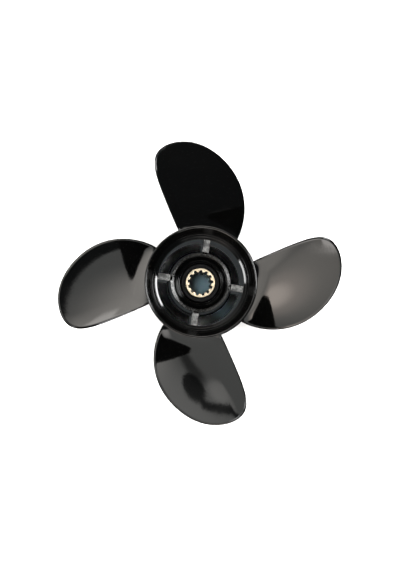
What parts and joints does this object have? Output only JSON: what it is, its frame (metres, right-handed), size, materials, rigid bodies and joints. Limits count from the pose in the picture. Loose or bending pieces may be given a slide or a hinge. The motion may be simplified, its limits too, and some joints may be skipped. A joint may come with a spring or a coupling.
{
  "type": "outboard motor propeller",
  "caption": "Right-hand outboard propeller with a through-hub exhaust barrel, ribbed inner hub, rubber bush and splined brass sleeve.",
  "frame": {"origin": "centre of the barrel's forward face, on the shaft axis", "axes": "+Z runs aft along the shaft axis; one blade lies along +X, and the others follow at quarter turns"},
  "size_m": [0.2616, 0.2616, 0.108],
  "materials": {
    "painted_casting": "gloss black paint on cast aluminium",
    "bush_rubber": "matt black rubber",
    "sleeve_brass": "machined, slightly dulled"
  },
  "bodies": {
    "root": {"hub_barrel": "painted_casting", "exhaust_ring": "painted_casting", "inner_hub": "painted_casting", "rib_1": "painted_casting", "rib_2": "painted_casting", "rib_3": "painted_casting", "rib_4": "painted_casting", "blade_1": "painted_casting", "blade_2": "painted_casting", "blade_3": "painted_casting", "blade_4": "painted_casting", "rubber_bush": "bush_rubber", "spline_sleeve": "sleeve_brass"}
  },
  "joints": []
}
